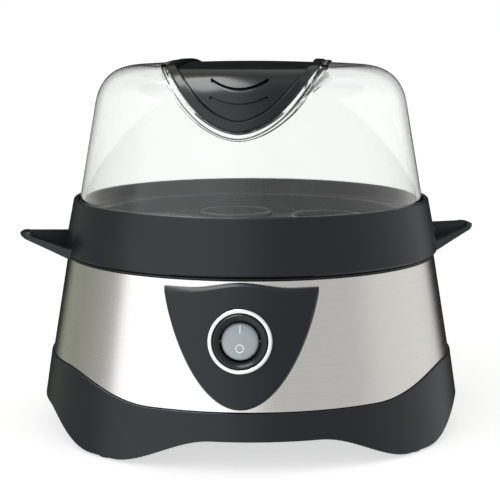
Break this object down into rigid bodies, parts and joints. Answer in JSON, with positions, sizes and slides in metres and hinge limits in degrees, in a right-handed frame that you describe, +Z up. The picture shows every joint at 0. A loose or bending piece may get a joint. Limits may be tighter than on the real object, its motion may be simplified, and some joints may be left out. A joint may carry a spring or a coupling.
{
  "type": "egg cooker",
  "caption": "Round electric egg cooker: clear domed lid with a black grip strap, black steaming ring with two side handles, steel-sleeved base with a round rocker switch.",
  "frame": {"origin": "on the table under the middle of the base, level with the undersides of the rubber feet", "axes": "+Z up, -Y towards the front, where the switch panel is, +X to the right seen from the front"},
  "size_m": [0.1984, 0.1822, 0.1587],
  "materials": {
    "black_plastic": "smooth satin black plastic",
    "grip_black": "smooth black plastic, glossier than the base",
    "switch_black": "smooth black plastic",
    "brushed_steel": "fine brushing round the sleeve",
    "clear_plastic": "clear polished plastic",
    "plate_coating": "dark non-stick coating on pressed aluminium",
    "silicone": "matte silicone",
    "rubber": "matte rubber",
    "switch_trim": "bright plated ring",
    "rocker_grey": "smooth grey plastic with white on and off marks",
    "brass": "plain brass",
    "screw_steel": "plated steel",
    "zinc": "zinc-plated steel sheet",
    "element_steel": "heat-tinted steel tube",
    "phenolic": "dark phenolic resin",
    "nylon": "natural nylon",
    "lead_grey": "silicone-covered wire",
    "lead_blue": "silicone-covered wire",
    "lead_brown": "silicone-covered wire"
  },
  "bodies": {
    "base": {"base_foot": "black_plastic", "bottom_plate": "black_plastic", "bottom_screw_1": "screw_steel", "bottom_screw_2": "screw_steel", "bottom_screw_3": "screw_steel", "bottom_screw_4": "screw_steel", "buzzer": "phenolic", "clamp_screw_1": "screw_steel", "clamp_screw_2": "screw_steel", "clamp_screw_3": "screw_steel", "cord_grommet": "rubber", "heating_element": "element_steel", "heating_plate": "plate_coating", "lead_block_to_element": "lead_blue", "lead_block_to_switch": "lead_brown", "lead_switch_to_element": "lead_grey", "plate_clamp_1": "zinc", "plate_clamp_2": "zinc", "plate_clamp_3": "zinc", "plate_gasket": "silicone", "rocker_pin": "switch_black", "rubber_foot_1": "rubber", "rubber_foot_2": "rubber", "rubber_foot_3": "rubber", "rubber_foot_4": "rubber", "steel_sleeve": "brushed_steel", "switch_body": "switch_black", "switch_panel": "black_plastic", "switch_ring": "switch_trim", "switch_terminal_1": "brass", "switch_terminal_2": "brass", "terminal_block": "nylon", "thermal_fuse": "brass", "thermostat": "phenolic", "thermostat_bracket": "zinc", "top_collar": "black_plastic"},
    "ring": {"steamer_ring": "black_plastic"},
    "tray": {"egg_tray": "black_plastic"},
    "lid": {"lid_shell": "clear_plastic", "lid_grip": "grip_black"},
    "rocker": {"rocker": "rocker_grey"}
  },
  "joints": [
    {"name": "ring_lift", "type": "slide", "parent": "base", "child": "ring", "axis": [0, 0, 1], "range_m": [0, 0.06]},
    {"name": "tray_lift", "type": "slide", "parent": "ring", "child": "tray", "axis": [0, 0, 1], "range_m": [0, 0.06]},
    {"name": "lid_lift", "type": "slide", "parent": "tray", "child": "lid", "axis": [0, 0, 1], "range_m": [0, 0.09]},
    {"name": "rocker_tilt", "type": "hinge", "parent": "base", "child": "rocker", "pos_m": [0, -0.08628, 0.05162], "axis": [1, 0, 0], "range_deg": [0, 20]}
  ]
}
